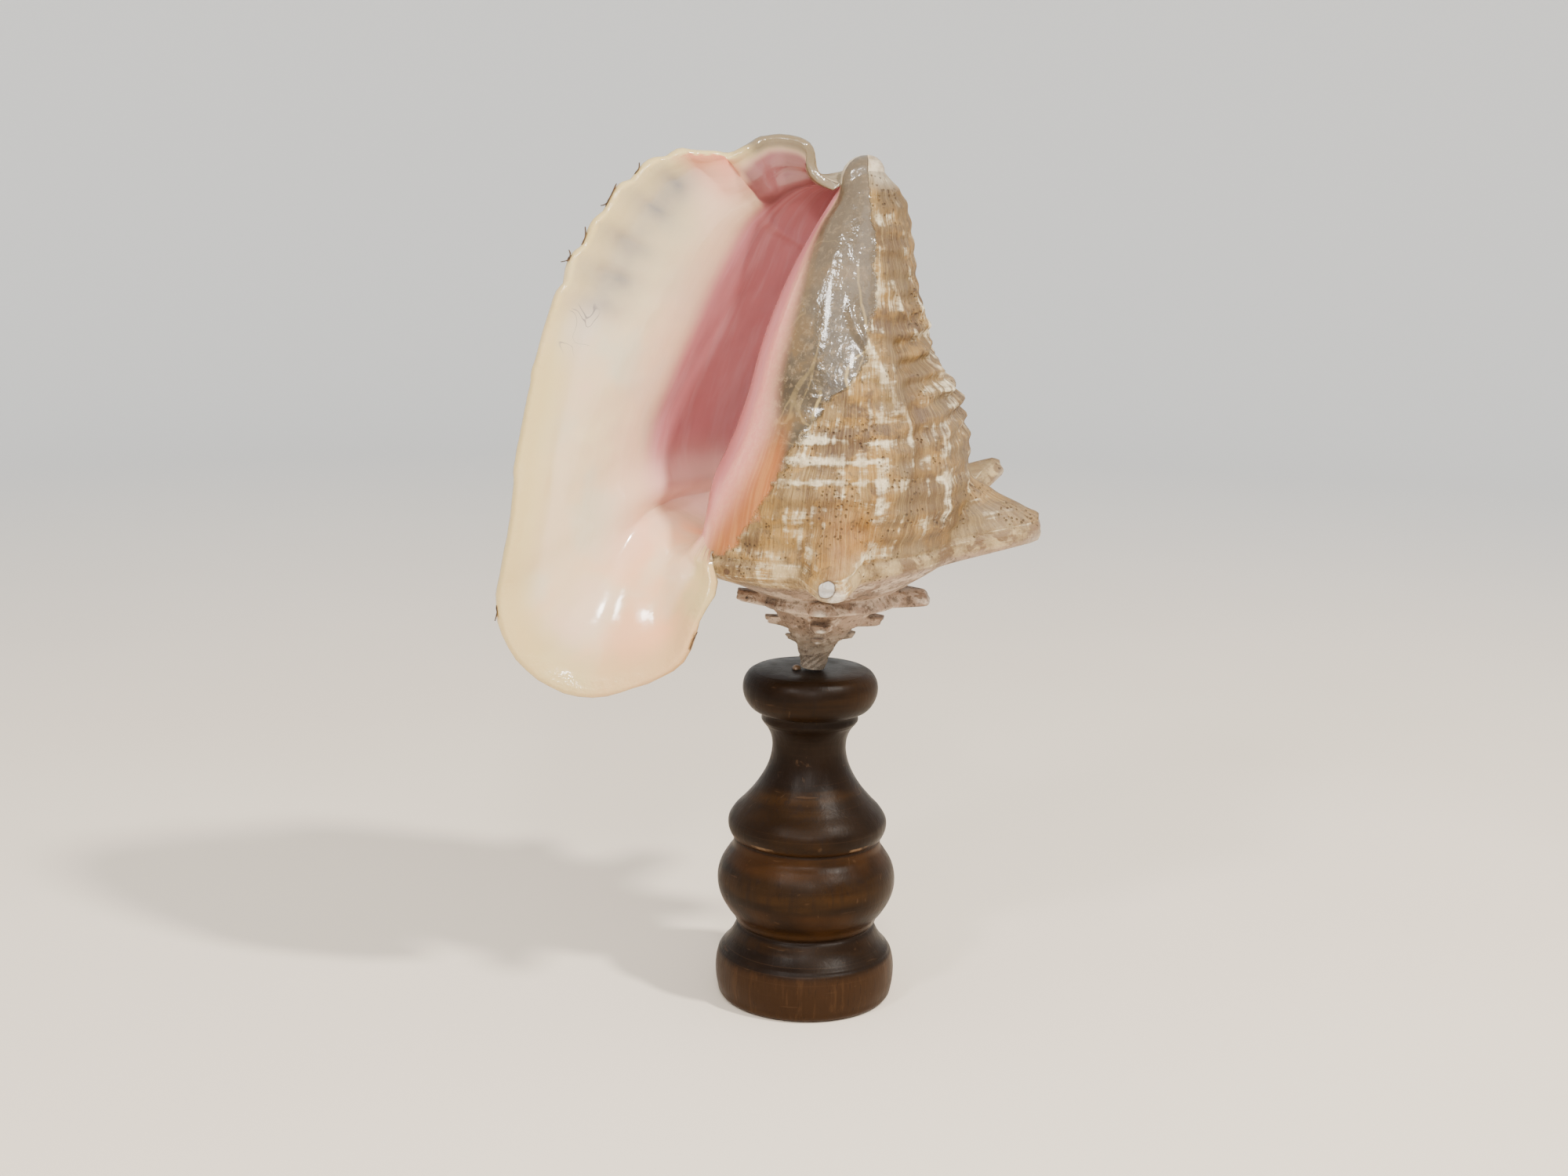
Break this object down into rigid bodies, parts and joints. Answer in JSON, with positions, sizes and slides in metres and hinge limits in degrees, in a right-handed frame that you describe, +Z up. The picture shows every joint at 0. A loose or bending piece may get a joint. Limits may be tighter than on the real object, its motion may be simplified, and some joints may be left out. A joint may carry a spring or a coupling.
{
  "type": "conch shell on stand",
  "caption": "Queen conch shell with a broad flared lip and shoulder spines, standing apex down on a turned dark wood stand.",
  "frame": {"origin": "centre of the stand's flat underside", "axes": "+Z up along the stand's axis, -Y toward the open side of the shell, +X to the right when looking into the opening"},
  "size_m": [0.2282, 0.153, 0.3763],
  "materials": {
    "shell": "glossy pink and ivory inside, chalky tan and white outside",
    "walnut": "dark stained, satin, worn at the edges",
    "glue": "old brown glue"
  },
  "bodies": {
    "root": {"conch_shell": "shell", "turned_stand": "walnut", "glue_bead": "glue"}
  },
  "joints": []
}
